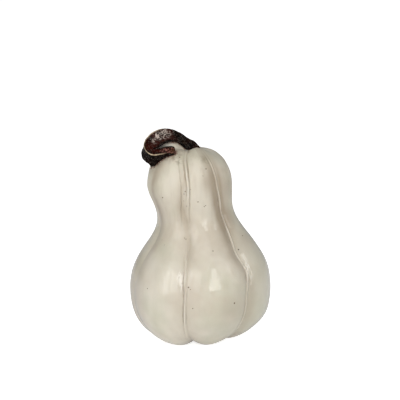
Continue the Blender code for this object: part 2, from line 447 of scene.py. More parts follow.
def stem_tree():
    bench = GrowingBench(
        "ridged_stem", Section=None, Around=120, Along=300, Fibre=0.22 * MM, Lumps=0.35 * MM, Blunt=0.03
    )
    size = bench.taken
    grid = bench.add("GeometryNodeMeshGrid", {
        "Size X": 1.0, "Size Y": 1.0, "Vertices X": size["Around"] + 1.0, "Vertices Y": size["Along"] + 1.0})
    x, y, _ = bench.axes(bench.here())
    around, along = x + 0.5, y + 0.5

    path = bench.line(size["Geometry"])
    width, depth, inner, flare = [
        bench.sample(path, along, bench.stored(label)) for label in ("width", "depth", "inner", "flare")]
    place, heading = width["Position"], width["Tangent"]
    section = bench.sample(bench.line(bench.mesh_of(size["Section"])), around)
    across, deep, _ = bench.axes(section["Position"])

    out = bench.vector(*curl_out)
    side = bench.vectors("NORMALIZE", bench.vectors("CROSS_PRODUCT", heading, out))
    end = bench.maths("MINIMUM", bench.maths("MINIMUM", along, 1.0 - along) / size["Blunt"], 1.0)
    swell = bench.maths("SQRT", end * (2.0 - end))
    inside = bench.maths("LESS_THAN", across, 0.0)
    reach = across * width * swell * (1.0 + inside * (inner - 1.0))
    reach = reach - flare * deep * depth * swell
    rise = ((deep + 0.5) * swell - 0.5) * depth
    spot = bench.vectors("ADD", place, bench.vectors("SCALE", side, scale=reach))
    spot = bench.vectors("ADD", spot, bench.vectors("SCALE", out, scale=rise))
    circle = around * (2.0 * math.pi)
    fibre_place = bench.vector(bench.maths("COSINE", circle), bench.maths("SINE", circle), along * 4.0)
    fibres = bench.noise(fibre_place, 0.16, detail=3.0, roughness=0.6, distortion=0.4)
    corner = bench.maths("MINIMUM", around, 1.0 - around)
    rim = bench.fade(corner, *RIM_EDGE)
    rim = rim * bench.ramp(along, *RIM_STARTS) * bench.fade(along, *RIM_ENDS)
    arch = bench.fade(around, *ARCH_EDGE)
    arch = arch * bench.ramp(along, *ARCH_STARTS) * bench.fade(along, *ARCH_ENDS)
    shines = [bench.hump(along - middle, length) * bench.hump(around - SHINE_MIDDLE, width) * strength
              for middle, length, width, strength in SHINES]
    stem = bench.keep(
        grid, worn_rim=rim, arch=arch, shine=shines[0] + shines[1],
        upper=bench.fade(around, UPPER_FACE - 0.03, UPPER_FACE), fibre=fibres, along=along, swell=swell)
    stem = bench.closed(bench.placed(stem, spot))

    lumps = bench.noise(bench.here(), 3.0 * MM, detail=2.0)
    relief = (bench.stored("fibre") - 0.5) * size["Fibre"] + (lumps - 0.5) * size["Lumps"]
    return bench.finish(bench.pushed(stem, relief * bench.stored("swell") * 2.0))


stem = grow("stem_bark", stem_tree(), stem_line, Section=section_holder, Material=stem_finish)
bpy.data.objects.remove(section_holder)

# %% [markdown]
# ## The outline of the fruit
#
# Seen from the side the fruit is a pear: a crown with a shallow dimple, a small head, a waist, a wide
# belly and the blossom end. A potter would throw it on a wheel. Here the same outline, made of one Bezier
# arc between each two knots, is what the tree turns.

# %% Knots of the outline
OUT, DOWN, IN = Vector((1.0, 0.0)), Vector((0.0, -1.0)), Vector((-1.0, 0.0))
CROWN_RADIUS = 9.0 * MM
CROWN_HEIGHT = 103.4 * MM
BELLY_HEIGHT = 28.6 * MM
WAIST_HEIGHT = 70.8 * MM
# Radius, height, the way the skin runs there, and how far it holds that way before and after the knot.
OUTLINE = (
    (0.0, 102.2 * MM, OUT, 0.0, 3.5 * MM),
    (CROWN_RADIUS, CROWN_HEIGHT, OUT, 4.0 * MM, 7.8 * MM),
    (22.6 * MM, 84.3 * MM, DOWN, 9.6 * MM, 5.5 * MM),
    (20.9 * MM, WAIST_HEIGHT, DOWN, 5.5 * MM, 13.6 * MM),
    (37.8 * MM, BELLY_HEIGHT, DOWN, 22.3 * MM, 17.2 * MM),
    (13.2 * MM, -0.3 * MM, IN, 15.4 * MM, 0.0),
    (10.0 * MM, -0.3 * MM, IN, 0.0, 4.0 * MM),
    (0.0, 2.7 * MM, IN, 2.5 * MM, 0.0),
)
ARC_STEPS = 40


def outline_points():
    points = []
    for knot, following in zip(OUTLINE, OUTLINE[1:]):
        start, end = Vector(knot[:2]), Vector(following[:2])
        handles = start + knot[2] * knot[4], end - following[2] * following[3]
        points += interpolate_bezier(start, *handles, end, ARC_STEPS + 1)[:-1]
    return [Vector((point.x, 0.0, point.y)) for point in points + [end]]


outline_line = line_mesh("outline_line", outline_points())
print("the outline has", len(outline_line.vertices), "points")

# %% [markdown]
# ## Lobes and furrows
#
# Seven furrows part the fruit into lobes. They wander as they climb: each has its own azimuth at five
# heights, and its own share of the depth. No two lobes are alike, and that is what makes it look grown
# and not turned. Beside the stem the skin also swells up in two places, where the stem pressed on it as
# it dried. An azimuth is measured in degrees round +Z from the front, positive to the right.

# %% What each furrow and lobe does
FURROW_HEIGHTS = (BELLY_HEIGHT, 43.0 * MM, 54.0 * MM, WAIST_HEIGHT, 95.0 * MM)
FURROWS = (
    (-71, -67, -66, -70, -63),
    (-12, -14, -15, -15, -5),
    (42, 45, 39, 46, 40),
    (99, 100, 101, 97, 100),
    (149, 147, 146, 152, 148),
    (198, 200, 201, 195, 200),
    (246, 247, 248, 243, 247),
)
LOBE_COUNT = len(FURROWS)
DEPTH_HEIGHTS = (0.0, BELLY_HEIGHT, 54.0 * MM, WAIST_HEIGHT, 98.0 * MM)
DEPTHS = (3.2 * MM, 1.7 * MM, 2.1 * MM, 1.4 * MM, 0.7 * MM)
FURROW_SHARES = (0.42, 1.1, 1.3, 1.0, 1.1, 0.9, 1.1)
FILLED = (0.0, 0.45, 0.0, 0.0, 0.0, 0.0, 0.0)  # How much of its depth is missing at the waist.
FURROW_SHARPNESS = 2.2
FURROW_START = 9.0 * MM
# How far each lobe's foot reaches out, and how much higher it stands at the foot and at the crown.
LOBES = (
    (1.00, 0.0, 0.0),
    (0.78, 0.0, 0.0),
    (0.92, 2.1 * MM, -1.6 * MM),
    (1.00, 0.0, -0.6 * MM),
    (0.95, 0.0, 0.5 * MM),
    (1.00, 0.0, 2.2 * MM),
    (1.00, 0.0, 3.0 * MM),
)
WAIST_REACH = 9.0 * MM
LEAN_HEIGHTS = (BELLY_HEIGHT, 54.0 * MM, 85.0 * MM)
LEANS = (-0.2 * MM, 0.6 * MM, -5.9 * MM)
FOOT_FADE = 20.0 * MM
CROWN_FADE = 14.0 * MM
BUTTON_RADIUS = 4.0 * MM  # The lobes meet level with each other at the blossom end.
# Where the skin swells up, inside the stem's curl and at its foot: right, back, reach and lift.
SWELLINGS = (
    (-18.0 * MM, 2.0 * MM, 6.5 * MM, 2.8 * MM),
    (-0.5 * MM, -5.0 * MM, 4.5 * MM, 1.9 * MM),
)
SWELLING_STARTS = (86.0 * MM, 96.0 * MM)
print(LOBE_COUNT, "furrows")

# %% [markdown]
# ## Cords in the furrows
#
# Down the middle of a furrow runs a raised cord about a millimetre wide, where the lobes have healed
# together, with a fine crease on either side of it. It fades in and out. The second furrow, at the front,
# widens at the head into a flat band with the cord along its right edge. At the belly wax has run down
# beside two cords. A bump map would vanish at the edge of the fruit, so all this is real relief, and the
# columns of points crowd towards the furrows to carry it. The creases and one flank of each furrow, at
# some the other flank too, are painted darker as painted shade, and the cords and the wax threads paler
# as painted highlights.

# %% Where the cords stand, in millimetres
CORD_HEIGHTS = [height * MM for height in (2, 10, 24, 36, 41, 48, 56, 64, 74, 84, 97, 102)]
CORD_RISES = (
    (0.0, 0.0, 0.0, 0.0, 0.0, 0.0, 0.0, 0.0, 0.0, 0.1, 0.1, 0.0),
    (0.0, 0.45, 0.8, 0.75, 0.6, 0.25, 0.05, 0.0, 0.05, 0.6, 0.6, 0.2),
    (0.0, 0.4, 0.5, 0.35, 0.8, 0.2, 0.4, 0.8, 0.8, 0.7, 0.5, 0.1),
    (0.0, 0.3, 0.4, 0.4, 0.3, 0.2, 0.2, 0.3, 0.4, 0.4, 0.3, 0.0),
    (0.0, 0.4, 0.4, 0.5, 0.3, 0.2, 0.1, 0.2, 0.4, 0.3, 0.2, 0.0),
    (0.0, 0.3, 0.5, 0.3, 0.3, 0.3, 0.2, 0.1, 0.3, 0.5, 0.3, 0.0),
    (0.0, 0.3, 0.3, 0.5, 0.4, 0.3, 0.3, 0.2, 0.3, 0.3, 0.2, 0.0),
)
# How far each cord stands beside the middle of its furrow.
LINE_HEIGHTS = [height * MM for height in (13, 20, 35, 47, 59, 70, 77, 82, 86, 92, 100)]
CORD_OFFSETS = (
    (0.0, 0.1, 0.2, 0.0, -0.3, 0.0, 0.3, 0.3, 0.2, 0.0, 0.0),
    (-1.2, -1.0, -0.1, -0.5, -1.5, 1.4, 3.2, 3.3, 2.5, 0.6, -0.8),
    (-1.5, -0.5, 0.0, 0.2, 0.5, -0.3, 0.4, 0.2, -0.2, -0.2, -0.8),
    (0.2, 0.1, -0.2, 0.0, 0.2, 0.0, 0.2, 0.3, 0.0, -0.2, 0.0),
    (-0.3, -0.1, 0.2, 0.1, 0.0, 0.3, 0.4, 0.2, 0.0, 0.3, 0.0),
    (0.0, 0.2, 0.3, 0.0, -0.2, 0.0, 0.2, 0.4, 0.2, 0.0, 0.0),
    (0.2, 0.1, 0.0, 0.2, 0.3, 0.0, -0.2, 0.0, 0.3, 0.1, 0.0),
)
BAND_RISES = (0.0, 0.42, 0.0, 0.0, 0.2, 0.0, 0.0)
RUN_SIDES = (0.0, -2.9, 1.9, 0.0, 0.0, 1.0, 0.0)  # Where wax has run down beside a cord,
RUN_HEIGHTS = [height * MM for height in (40, 40, 44, 40, 40, 36, 40)]  # at what height,
RUN_RISES = (0.0, 1.0, 1.0, 0.0, 0.0, 0.6, 0.0)  # and how thick it lies there.
BAND_SHIFT = 1.4  # The cord stands this far to the right of the band's middle,
BAND_HALF = 1.95  # and the band reaches this far to either side of that.
# How much painted shade darkens one flank of each furrow, and how that changes with the height.
FLANKS = (0.8, 0.3, 1.15, 0.3, 0.5, 0.3, 0.6)
FLANK_SIDES = (3.0, -0.6, -3.2, -2.0, -3.2, -2.0, -3.2)
FLANK_HEIGHTS = [height * MM for height in (8, 30, 44, 58, 70, 90, 98)]
FLANK_AMOUNTS = (0.2, 0.5, 0.4, 0.8, 1.25, 1.2, 0.7)
# The other side has a narrow line of painted shade by the cord and a wider faint band, at the neck alone.
FAR_FLANKS = (0.3, 0.0, 1.0, 0.2, 0.4, 0.0, 0.3)
FAR_AMOUNTS = (0.0, 0.0, 0.0, 0.1, 0.9, 1.0, 0.3)
FAR_LINE, FAR_BAND = (2.0, 1.3, 0.9), (4.5, 3.0, 0.4)  # How far beside, how wide and how dark.
FLANK_TURNS = (34.0 * MM, 44.0 * MM)
BELLY_SIDE, FLANK_WIDTH = 2.6, 2.8  # Below the turn every dark flank is on the right.
print("cords stand up to", max(map(max, CORD_RISES)), "mm proud")

# %% The relief across a furrow
CORD_WIDTH, CREASE_SIDE, CREASE_WIDTH = 0.42, 0.9, 0.34
RUN_WIDTH, RUN_LENGTH = 1.8, 6.0 * MM
BAND_STARTS, BAND_ENDS = (60.0 * MM, 77.0 * MM), (97.0 * MM, 103.0 * MM)


def furrow_relief(bench, nearest, beside, height, started):
    """How far cord, creases, band and wax stand out, in millimetres, and the masks of where they are."""
    rise = bench.eased(height, CORD_HEIGHTS, [bench.pick(nearest, row) for row in zip(*CORD_RISES)])
    offset = bench.eased(height, LINE_HEIGHTS, [bench.pick(nearest, row) for row in zip(*CORD_OFFSETS)],
                         "LINEAR")
    thread = bench.noise(bench.vector(nearest * 7.0, 0.0, height * 60.0), 1.0, detail=2.0)
    sway = bench.noise(bench.vector(nearest * 3.0 + 50.0, 0.0, height * 45.0), 1.0, detail=1.0)
    beside_line = beside - offset
    beside_cord = beside_line - (sway - 0.5) * 0.4
    strength = rise * bench.ramp(thread, 0.3, 0.6, 0.45, 1.15) * bench.taken["Cords"] * started
    cord = bench.hump(beside_cord, CORD_WIDTH)
    creases = bench.hump(beside_cord + CREASE_SIDE, CREASE_WIDTH)
    creases = creases + bench.hump(beside_cord - CREASE_SIDE, 0.36) * 0.3

    band_height = bench.pick(nearest, BAND_RISES) * bench.ramp(height, *BAND_STARTS) * started
    band_height = band_height * bench.fade(height, *BAND_ENDS)
    from_edge = bench.maths("ABSOLUTE", beside_line + BAND_SHIFT) - BAND_HALF
    band = bench.fade(from_edge, 0.0, 0.35) * band_height
    edges = bench.hump(from_edge - 0.4, 0.28) * band_height

    waxy = bench.hump(beside - bench.pick(nearest, RUN_SIDES), RUN_WIDTH) * bench.pick(nearest, RUN_RISES)
    waxy = waxy * bench.hump(height - bench.pick(nearest, RUN_HEIGHTS), RUN_LENGTH)
    run_place = bench.vector(beside * 1.2, nearest * 5.0, height * 140.0)
    runs = (bench.noise(run_place, 1.0, detail=2.0) - 0.4) * waxy
    relief = (cord - creases * 0.5) * strength + band - edges * 0.6 + runs
    return relief, {"cord": cord * strength, "run": waxy, "crease": (creases * strength + edges) * 0.8}


print("a cord is about", 2.0 * CORD_WIDTH, "mm wide, with creases", CREASE_SIDE, "mm beside it")

# %% The dark flanks


def dark_flanks(bench, nearest, beside, height):
    """How much painted shade darkens the skin to either side of a furrow."""
    side = bench.ramp(height, *FLANK_TURNS, BELLY_SIDE, bench.pick(nearest, FLANK_SIDES))
    flank = bench.hump(beside - side, FLANK_WIDTH) * bench.pick(nearest, FLANKS)
    flank = flank * bench.eased(height, FLANK_HEIGHTS, FLANK_AMOUNTS)
    line, band = [bench.hump(beside - side, width) * dark for side, width, dark in (FAR_LINE, FAR_BAND)]
    far = (line + band) * bench.pick(nearest, FAR_FLANKS)
    return flank + far * bench.eased(height, FLANK_HEIGHTS, FAR_AMOUNTS)


print("masks across a furrow: cord, run, crease and flank")


# %% [markdown]
# ## Growing the fruit
#
# Again a grid is rolled up. Its long side is the way round and its short side the way down the outline.
# Each point looks up its height and radius on the outline, and its azimuth between the two furrows of its
# lobe. Then the furrow presses it in along the outline's own normal. The seam and the two poles are
# merged at the end, so the skin is one closed surface.

# %% The fruit's tree
CROWDING = 0.62  # Columns stand closer together near a furrow.


def per_furrow(rows, turn):
    """A table's columns, each with the first furrow again at its end, a turn further on."""
    return [list(column) + [column[0] + turn] for column in zip(*rows)]


def gourd_tree():
    bench = GrowingBench(
        "lobed_gourd", Stem=None, Columns=66, Rows=206, Depth=1.0, Cords=1.0, Waves=0.28 * MM
    )
    size = bench.taken
    grid = bench.add("GeometryNodeMeshGrid", {
        "Size X": 1.0, "Size Y": 1.0,
        "Vertices X": size["Columns"] * LOBE_COUNT + 1.0, "Vertices Y": size["Rows"] + 1.0})
    x, y, _ = bench.axes(bench.here())
    sample = bench.sample(bench.line(size["Geometry"]), y + 0.5)
    radius, _, height = bench.axes(sample["Position"])
    upward, _, fall = bench.axes(sample["Tangent"])
    outward = fall * -1.0

    # The lobe, and where in it the point stands.
    turn = (x + 0.5) * LOBE_COUNT
    lobe = bench.maths("FLOOR", turn)
    across = turn - lobe
    eased = across - bench.maths("SINE", across * (2.0 * math.pi)) * (CROWDING / (2.0 * math.pi))
    azimuths = per_furrow([[math.radians(angle) for angle in row] for row in FURROWS], 2.0 * math.pi)
    start = bench.eased(height, FURROW_HEIGHTS, [bench.pick(lobe, row) for row in azimuths])
    end = bench.eased(height, FURROW_HEIGHTS, [bench.pick(lobe + 1.0, row) for row in azimuths])
    azimuth = start + (end - start) * eased
    crest = 1.0 - bench.maths("ABSOLUTE", eased * 2.0 - 1.0)
    far_side = bench.maths("GREATER_THAN", across, 0.5)
    nearest = bench.maths("MODULO", lobe + far_side, float(LOBE_COUNT))
    beside = (eased - far_side) * (end - start) * radius / MM

    # The furrow presses the skin in, and each lobe has its own foot and crown.
    filled = bench.pick(nearest, FILLED) * bench.hump(height - WAIST_HEIGHT, WAIST_REACH)
    share = bench.pick(nearest, FURROW_SHARES) * (1.0 - filled) * size["Depth"]
    hollow = (1.0 - crest) ** FURROW_SHARPNESS
    started = bench.ramp(radius, 0.0, FURROW_START)
    pressed = share * bench.eased(height, DEPTH_HEIGHTS, DEPTHS) * hollow * started
    reaches, foot_lifts, crown_lifts = zip(*LOBES)
    fullness = bench.maths("SINE", crest * (0.5 * math.pi))
    low = fullness * bench.fade(height, 0.0, FOOT_FADE)
    high = fullness * bench.ramp(height, CROWN_HEIGHT - CROWN_FADE, CROWN_HEIGHT)
    high = high * bench.ramp(radius, 0.0, CROWN_RADIUS)

    # Cords and creases, and each lobe's lean.
    relief, masks = furrow_relief(bench, nearest, beside, height, started)
    press_in = relief * MM - pressed
    foot_lift = low * bench.ramp(radius, 0.0, BUTTON_RADIUS) * bench.pick(lobe, foot_lifts)
    height_now = height + upward * press_in + foot_lift + high * bench.pick(lobe, crown_lifts)
    radius = radius * (1.0 + low * (bench.pick(lobe, reaches) - 1.0)) + outward * press_in
    lean = bench.eased(height_now, LEAN_HEIGHTS, LEANS)
    right = radius * bench.maths("SINE", azimuth) + lean
    back = radius * bench.maths("COSINE", azimuth) * -1.0
    for middle_right, middle_back, reach, lift in SWELLINGS:
        away = bench.vectors("DISTANCE", bench.vector(right, back), (middle_right, middle_back, 0.0))
        swelling = bench.hump(away["Value"], reach) * bench.ramp(height, *SWELLING_STARTS)
        height_now = height_now + swelling * lift
    spot = bench.vector(right, back, bench.maths("MAXIMUM", height_now, 0.0))
    # The hollow, flank, waist and foot masks carry painted shade, the hollow partly patina too.
    skin = bench.keep(
        grid,
        hollow=hollow * share * started,
        flank=dark_flanks(bench, nearest, beside, height) * started,
        waist=bench.hump(height - WAIST_HEIGHT, WAIST_REACH) * (0.3 + 0.5 * hollow),
        foot=hollow * bench.fade(height, 1.0 * MM, 12.0 * MM),
        **masks,
    )
    skin = bench.closed(bench.placed(skin, spot))

    # Slow waves over the lobes, which the gloss shows, but none where the fruit rests.
    _, _, level = bench.axes(bench.here())
    waves = bench.noise(bench.here(), 16.0 * MM, detail=2.0, roughness=0.35) - 0.5
    skin = bench.pushed(skin, waves * size["Waves"] * 2.0 * bench.ramp(level, 0.5 * MM, 8.0 * MM))

    # How near the stem is, for the grime and the stains round it.
    nearness = bench.add("GeometryNodeProximity", {"Geometry": bench.mesh_of(size["Stem"])},
                         target_element="FACES")["Distance"]
    return bench.finish(bench.keep(skin, by_stem=bench.ramp(nearness, 0.0, 5.0 * MM, 1.0, 0.0, "LINEAR")))


fruit = grow("fruit_skin", gourd_tree(), outline_line, Stem=stem, Material=skin_finish)
low_corner, high_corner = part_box("fruit")
print("fruit grown to", [round(side / MM, 1) for side in fruit.dimensions],
      "mm, the solid is", [round(side / MM, 1) for side in high_corner - low_corner])

# %% [markdown]
# ## Where the specks of the photograph sit
#
# The skin has a few small brown corky specks. Those that the picture shows are placed by looking through
# its camera: a ray goes out through each speck's place in the picture, and the speck sits where the ray
# meets the skin. So they lie on the skin from every side, and the camera has to be known first.

# %% The camera
IMAGE_SIDE = 400
CAMERA_ELEVATION = math.radians(11)
CAMERA_DISTANCE = 0.80
CAMERA_AIM = Vector((-0.0005, 0.0, 0.0756))
LENS = 136.0
SENSOR = 36.0

camera = put("camera", bpy.data.cameras.new("camera"))
camera.data.lens = LENS
camera.data.sensor_width = SENSOR
sight = Vector((0.0, math.cos(CAMERA_ELEVATION), -math.sin(CAMERA_ELEVATION)))
camera.location = CAMERA_AIM - sight * CAMERA_DISTANCE
camera.rotation_euler = sight.to_track_quat("-Z", "Y").to_euler()
scene.camera = camera
bpy.context.view_layer.update()
print("camera at", [round(value, 3) for value in camera.location])

# %% Rays to the skin


def tree_of(piece):
    return BVHTree.FromPolygons([vertex.co for vertex in piece.data.vertices],
                                [tuple(face.vertices) for face in piece.data.polygons])


def seen_at(surface, across, down):
    """Where the ray through a place in the picture, in pixels, meets a surface."""
    half = SENSOR / (2.0 * LENS)
    ray = Vector((across / IMAGE_SIDE * 2.0 - 1.0, 1.0 - down / IMAGE_SIDE * 2.0, -1.0 / half))
    ray = camera.matrix_world.to_quaternion() @ ray
    spot, _, _, _ = surface.ray_cast(camera.location, ray.normalized())
    return spot


# Across and down in pixels, and the speck's width in millimetres.
SEEN_SPECKS = (
    (162.6, 197.6, 0.8), (198.0, 202.0, 0.6), (204.3, 206.6, 0.5), (205.6, 205.6, 0.5), (206.0, 169.0, 0.7),
    (184.5, 238.0, 0.5), (186.0, 239.2, 0.5), (162.0, 240.0, 0.4), (164.5, 245.0, 0.4), (213.0, 251.0, 0.6),
    (242.6, 235.6, 0.6), (238.5, 249.6, 0.7), (188.6, 287.4, 0.8), (190.4, 289.6, 0.5), (147.5, 288.6, 0.6),
    (185.2, 191.6, 0.6), (184.0, 194.0, 0.5), (190.5, 189.6, 0.4), (183.8, 201.0, 0.4), (186.6, 206.2, 0.4),
    (234.5, 303.2, 0.9), (192.8, 308.5, 0.6), (177.6, 154.0, 0.5), (179.6, 157.5, 0.6), (203.0, 176.0, 0.4),
)
surface = tree_of(fruit)
spots = [seen_at(surface, across, down) for across, down, _ in SEEN_SPECKS]
speck_line = line_mesh("speck_spots", spots, breadth=[width * MM for _, _, width in SEEN_SPECKS])
print(len(spots), "specks found on the skin")

# %% [markdown]
# ## Scattering the specks
#
# The same tree makes all the specks. It takes the places found above, adds a few more at random over the
# sides and the back, sets a small flattened dome on each, turned to the skin and sunk halfway into it,
# and gives each its own width and turn. A dome has a few dozen faces, because it is repeated.

# %% The specks' tree
SPECK_SEED = 7
UNSEEN_FROM = 4.0 * MM  # The picture doesn't show the skin further back than this.


def speck_tree():
    bench = GrowingBench("corky_specks", Skin=None, Density=2600.0, Height=0.22, Seed=SPECK_SEED)
    size = bench.taken
    skin = bench.mesh_of(size["Skin"])
    _, back, _ = bench.axes(bench.here())
    behind = bench.maths("GREATER_THAN", back, UNSEEN_FROM)
    strewn = bench.add("GeometryNodeDistributePointsOnFaces",
                       {"Mesh": skin, "Density": size["Density"], "Selection": behind, "Seed": size["Seed"]})
    drawn = bench.add("FunctionNodeRandomValue", {2: 0.3 * MM, 3: 0.8 * MM, "Seed": size["Seed"]},
                      data_type="FLOAT")[1]
    chosen = bench.add("GeometryNodeMeshToPoints", {"Mesh": size["Geometry"]})
    join = bench.add("GeometryNodeJoinGeometry", {"Geometry": bench.keep(strewn, breadth=drawn)})
    bench.feed(join.node.inputs["Geometry"], chosen)

    feeds = {"Mesh": skin, "Value": bench.add("GeometryNodeInputNormal")}
    nearest = bench.add("GeometryNodeSampleNearestSurface", feeds, data_type="FLOAT_VECTOR")
    upright = bench.add("FunctionNodeAlignRotationToVector", {"Vector": nearest}, axis="Z")
    dome = bench.add("GeometryNodeMeshIcoSphere", {"Radius": 0.5, "Subdivisions": 2})
    dome = bench.pushed(dome, (bench.noise(bench.here(), 0.5, detail=1.0) - 0.5) * 0.5)
    breadth = bench.stored("breadth")
    scale = bench.vector(breadth, breadth, breadth * size["Height"])
    specks = bench.add("GeometryNodeInstanceOnPoints",
                       {"Points": join, "Instance": dome, "Rotation": upright, "Scale": scale})
    return bench.finish(specks)


specks = grow("corky_specks", speck_tree(), speck_line, Skin=fruit, Material=speck_finish)

# %% [markdown]
# ## The blossom scar
#
# Underneath, where the flower once sat, the skin ends in a small corky button with a raised rim. It is
# turned from a short outline with a Screw modifier, and its rim is then made uneven with noise, because
# it is a scar and not a machined part.

# %% Turn the scar
SCAR_OUTLINE = ((0.0, 2.6), (0.9, 2.3), (1.5, 1.7), (2.1, 1.5),
                (2.7, 2.0), (3.1, 2.9), (3.2, 4.2), (0.0, 4.4))
SCAR_STEPS = 48


def scar_tree():
    bench = GrowingBench("scar_relief", Roughness=0.5 * MM)
    lumps = bench.noise(bench.here(), 1.1 * MM, detail=3.0) - 0.5
    return bench.finish(bench.pushed(bench.taken["Geometry"], lumps * bench.taken["Roughness"]))


def turned(name, outline, steps):
    """An outline of radius and height in millimetres, turned round the axis."""
    profile = line_mesh(name, [(radius * MM, 0.0, height * MM) for radius, height in outline])
    holder = put(name, profile)
    screw = holder.modifiers.new("turn", "SCREW")
    screw.steps = screw.render_steps = steps
    screw.use_merge_vertices = True
    screw.merge_threshold = 0.005 * MM
    smooth = holder.modifiers.new("smooth", "SUBSURF")
    smooth.levels = smooth.render_levels = 2
    return plain_mesh(holder)


scar = grow("blossom_scar", scar_tree(), turned("scar", SCAR_OUTLINE, SCAR_STEPS), Material=scar_finish)
centre_of_foot = surface.find_nearest(Vector((0.0, 0.0, 2.0 * MM)))[0]
scar.data.transform(Matrix.Translation((centre_of_foot.x, centre_of_foot.y, 0.0)))
print("the scar sits at", [round(value / MM, 1) for value in centre_of_foot], "mm")

# %% [markdown]
# ## Shader groups that the finishes share
#
# Cloudy variation, fine grain and grime turn up in every finish here. Each is a small group with named
# inputs, built once and used with other values in each material. A group gives out colours, masks and
# heights only, and the shader itself stays in the material.

# %% Groups


class GroupBench(Bench):
    """A bench for a shader group that takes a place on the piece, and named values and colours."""

    def __init__(self, name, result, **inputs):
        super().__init__(bpy.data.node_groups.new(name, "ShaderNodeTree"))
        make = self.tree.interface.new_socket
        make("Place", in_out="INPUT", socket_type="NodeSocketVector")
        for label, value in inputs.items():
            kind = "NodeSocketColor" if isinstance(value, tuple) else "NodeSocketFloat"
            make(label, in_out="INPUT", socket_type=kind).default_value = value
        kind = "NodeSocketColor" if result == "Colour" else "NodeSocketFloat"
        make(result, in_out="OUTPUT", socket_type=kind)
        self.result = result
        self.taken = self.add("NodeGroupInput")

    def finish(self, value):
        self.add("NodeGroupOutput", {self.result: value})
        return self.tree


def mottle_group():
    """Cloudy patches: a mask that runs from 0 to 1 between two levels of the noise."""
    bench = GroupBench("mottle", "Mask", Size=0.02, From=0.4, To=0.7, Detail=3.0)
    size = bench.taken
    clouds = bench.noise(size["Place"], size["Size"], detail=size["Detail"], roughness=0.55)
    return bench.finish(bench.ramp(clouds, size["From"], size["To"]))


def grain_group():
    """A height for fine grain: soft dimples with a sharper tooth on top."""
    bench = GroupBench("grain", "Height", Size=0.0015, Tooth=0.3)
    size = bench.taken
    dimples = bench.noise(size["Place"], size["Size"], detail=2.0)
    tooth = bench.noise(size["Place"], size["Size"] * 0.3, detail=3.0)
    return bench.finish(dimples + (tooth - dimples) * size["Tooth"])


def grime_group():
    """A colour with grime rubbed over it where a mask allows, broken up by noise."""
    bench = GroupBench("grime", "Colour", Clean=(1.0, 1.0, 1.0, 1.0), Grime=(0.1, 0.1, 0.1, 1.0),
                       Mask=1.0, Breakup=0.5, Size=0.004)
    size = bench.taken
    broken = bench.ramp(bench.noise(size["Place"], size["Size"], detail=4.0, roughness=0.6), 0.35, 0.65)
    share = size["Mask"] * (1.0 - size["Breakup"] * (1.0 - broken))
    return bench.finish(bench.blend(bench.maths("MINIMUM", share, 1.0), size["Clean"], size["Grime"]))


MOTTLE, GRAIN, GRIME = mottle_group(), grain_group(), grime_group()


class PaintBench(Bench):
    """A bench for a material. Its constant values are set on the shader's own sockets."""

    def __init__(self, material, **constants):
        material.use_nodes = True
        super().__init__(material.node_tree)
        self.shader = material.node_tree.nodes["Principled BSDF"]
        self.place = self.add("ShaderNodeTexCoord")["Object"]
        for label, value in constants.items():
            self.shader.inputs[label.replace("_", " ")].default_value = value

    def mask(self, name):
        """A mask that the geometry tree stored on the points."""
        return self.add("ShaderNodeAttribute", attribute_name=name)["Fac"]

    def group(self, tree, place=None, **values):
        group = self.add("ShaderNodeGroup", node_tree=tree)
        for label, value in {"Place": place or self.place, **values}.items():
            self.feed(group.node.inputs[label], value)
        return group

    def finish(self, colour, roughness, height, relief):
        """Relief is how far, in metres, the height stands from its lowest to its highest."""
        self.feed(self.shader.inputs["Base Color"], colour)
        self.feed(self.shader.inputs["Roughness"], roughness)
        bump = self.add("ShaderNodeBump", {"Height": height, "Distance": relief, "Strength": 1.0})
        self.feed(self.shader.inputs["Normal"], bump)


def srgb(red, green, blue):
    """A colour from its 0 to 255 screen values."""
    values = [channel / 255.0 for channel in (red, green, blue)]
    return tuple(((v + 0.055) / 1.055) ** 2.4 if v > 0.04 else v / 12.92 for v in values) + (1.0,)


print("groups:", [tree.name for tree in (MOTTLE, GRAIN, GRIME)])

# %% [markdown]
# ## The skin
#
# The skin of a ripe white pumpkin is cream, and no patch of it is quite the same: it drifts towards
# green in patches and towards a faint rose where it bruised. Its right side is painted greener and
# darker, and its left edge browner, as painted shade. It is waxy, so light goes a little way in, and a
# thin smooth coat lies over it that mirrors a window. The coat has worn thin on the head and in a few
# rubbed spots. The furrows are browned, partly by patina and partly as painted shade, and their flanks,
# the waist, the creases and a few patches on the right are painted darker as painted shade. Grime
# collects round the stem. The cords and the wax threads beside two of them are painted pale as painted
# highlights, and the skin in the shadow of the curl and by the stem's foot is painted paler as painted
# light. A painted image could hold all this, but noise and the masks that the tree stored stay sharp
# from near and go all the way round. Spots and stains that the picture shows are found on the skin by
# the camera's rays, like the specks, and fade out over the skin round them.

# %% Paint the skin
# The green also paints shade on the right, the hollow brown serves dirt, patina and painted shade, the crease
# brown is painted shade, and the cord cream and the pale are painted highlights and light.
CREAM = srgb(223, 216, 200)
GREEN_CREAM = srgb(210, 207, 186)
ROSE_CREAM = srgb(208, 197, 179)
DIRT_AND_SHADE_BROWN = srgb(172, 157, 136)
CREASE_SHADE_BROWN = srgb(128, 108, 86)
CORD_HIGHLIGHT_CREAM = srgb(240, 234, 220)
HIGHLIGHT_PALE = srgb(246, 241, 230)
STEM_GRIME = srgb(112, 96, 66)
STEM_STAIN = srgb(120, 62, 50)
WORN_HEIGHTS, WORN_GLOSS = (66.0 * MM, 78.0 * MM), 0.2  # The head has lost most of its gloss.
